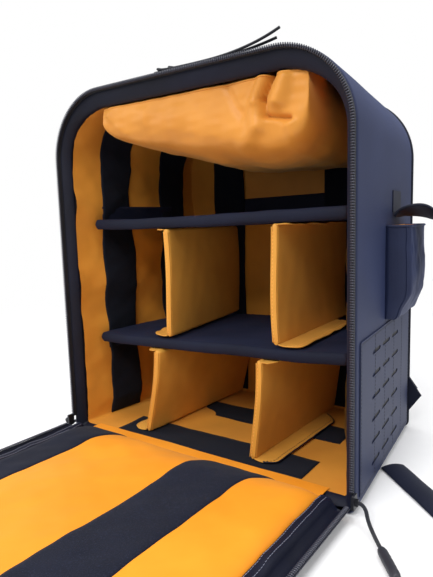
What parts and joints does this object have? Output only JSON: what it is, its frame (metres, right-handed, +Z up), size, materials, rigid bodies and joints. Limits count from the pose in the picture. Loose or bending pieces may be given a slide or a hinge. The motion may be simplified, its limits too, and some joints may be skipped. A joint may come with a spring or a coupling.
{
  "type": "drone carrying case",
  "caption": "Soft backpack-style carrying case with padded tub, fold-down zipped door, removable shelves and dividers, side pockets and a carrying harness",
  "frame": {"origin": "centre of the base of the case, on the ground", "axes": "+X to the right of a person facing the open front, +Y towards the back panel and harness, +Z up"},
  "size_m": [0.6749, 0.766, 0.4989],
  "materials": {
    "shell_fabric": "coated dark blue-grey weave",
    "lining_fabric": "amber orange tricot lining",
    "rim_fabric": "dark padded binding fabric",
    "foam": null,
    "loop_fabric": "near-black brushed loop",
    "zip_teeth": "coil teeth on woven tape",
    "laminate": "laser-cut laminate",
    "webbing": "woven webbing",
    "mesh_fabric": "spacer mesh over foam",
    "acetal": "moulded",
    "stay_alloy": "mill finish",
    "slider_metal": "dark coated die casting",
    "cord": "braided cord",
    "grip_rubber": "matt heat-shrunk tube"
  },
  "bodies": {
    "case": {"back_pads": "mesh_fabric", "back_skin": "shell_fabric", "base_buckles": "acetal", "base_panel": "shell_fabric", "base_strap_left": "webbing", "base_strap_right": "webbing", "case_zip": "zip_teeth", "foam_back": "foam", "foam_base": "foam", "foam_left": "foam", "foam_right": "foam", "foam_top": "foam", "frame_sheet": "acetal", "frame_stays": "stay_alloy", "gusset_skin": "shell_fabric", "hinge_tape": "shell_fabric", "ladder_locks": "acetal", "lining": "lining_fabric", "lining_back": "lining_fabric", "loop_strips": "loop_fabric", "molle_panel_left": "laminate", "molle_panel_right": "laminate", "rim_frame": "rim_fabric", "sewn_tabs": "webbing", "shoulder_strap_left": "mesh_fabric", "shoulder_strap_right": "mesh_fabric", "side_pocket_left": "shell_fabric", "side_pocket_right": "shell_fabric", "strap_webs": "webbing", "strap_yoke": "mesh_fabric", "top_pouch": "lining_fabric", "top_zip": "zip_teeth"},
    "door": {"door_panel": "shell_fabric", "door_foam": "foam", "door_border": "rim_fabric", "door_pad": "lining_fabric", "door_gusset": "shell_fabric", "door_zip": "zip_teeth", "door_strips": "loop_fabric"},
    "shelf_upper": {"upper_shelf": "rim_fabric"},
    "shelf_lower": {"lower_shelf": "rim_fabric"},
    "board_upper_left": {"divider_upper_left": "lining_fabric"},
    "board_upper_right": {"divider_upper_right": "lining_fabric"},
    "board_lower_left": {"divider_lower_left": "lining_fabric"},
    "board_lower_right": {"divider_lower_right": "lining_fabric"},
    "flap_right": {"pocket_flap_right": "webbing"},
    "flap_left": {"pocket_flap_left": "webbing"},
    "zip_right": {"slider_right": "slider_metal", "pull_cord_right": "cord", "pull_grip_right": "grip_rubber"},
    "zip_left": {"slider_left": "slider_metal", "pull_cord_left": "cord", "pull_grip_left": "grip_rubber"},
    "top_zip_right": {"top_slider_right": "slider_metal", "top_cord_right": "cord"},
    "top_zip_left": {"top_slider_left": "slider_metal", "top_cord_left": "cord"},
    "handle": {"grab_handle": "webbing"}
  },
  "joints": [
    {"name": "door_hinge", "type": "hinge", "parent": "case", "child": "door", "pos_m": [0, -0.1429, 0.02], "axis": [-1, 0, 0], "range_deg": [0, 90]},
    {"name": "upper_shelf_slide", "type": "slide", "parent": "case", "child": "shelf_upper", "axis": [0, 1, 0], "range_m": [-0.2, 0]},
    {"name": "lower_shelf_slide", "type": "slide", "parent": "case", "child": "shelf_lower", "axis": [0, 1, 0], "range_m": [-0.2, 0]},
    {"name": "upper_left_divider_slide", "type": "slide", "parent": "case", "child": "board_upper_left", "axis": [0, 1, 0], "range_m": [-0.2, 0]},
    {"name": "upper_right_divider_slide", "type": "slide", "parent": "case", "child": "board_upper_right", "axis": [0, 1, 0], "range_m": [-0.2, 0]},
    {"name": "lower_left_divider_slide", "type": "slide", "parent": "case", "child": "board_lower_left", "axis": [1, 0, 0], "range_m": [0, 0.06]},
    {"name": "lower_right_divider_slide", "type": "slide", "parent": "case", "child": "board_lower_right", "axis": [1, 0, 0], "range_m": [0, 0.06]},
    {"name": "right_flap_hinge", "type": "hinge", "parent": "case", "child": "flap_right", "pos_m": [0.20871, -0.01118, 0.306], "axis": [0.0806, -0.9967, 0], "range_deg": [0, 70]},
    {"name": "left_flap_hinge", "type": "hinge", "parent": "case", "child": "flap_left", "pos_m": [-0.20871, -0.01118, 0.306], "axis": [0.0806, 0.9967, 0], "range_deg": [0, 70]},
    {"name": "right_slider_slide", "type": "slide", "parent": "case", "child": "zip_right", "axis": [0, 0, 1], "range_m": [0, 0.36]},
    {"name": "left_slider_slide", "type": "slide", "parent": "case", "child": "zip_left", "axis": [0, 0, 1], "range_m": [0, 0.36]},
    {"name": "top_right_slider_slide", "type": "slide", "parent": "case", "child": "top_zip_right", "axis": [1, 0, 0], "range_m": [0, 0.12]},
    {"name": "top_left_slider_slide", "type": "slide", "parent": "case", "child": "top_zip_left", "axis": [1, 0, 0], "range_m": [-0.07, 0]},
    {"name": "grab_handle_hinge", "type": "hinge", "parent": "case", "child": "handle", "pos_m": [0, 0.1406, 0.45], "axis": [1, 0, 0], "range_deg": [0, 170]}
  ]
}
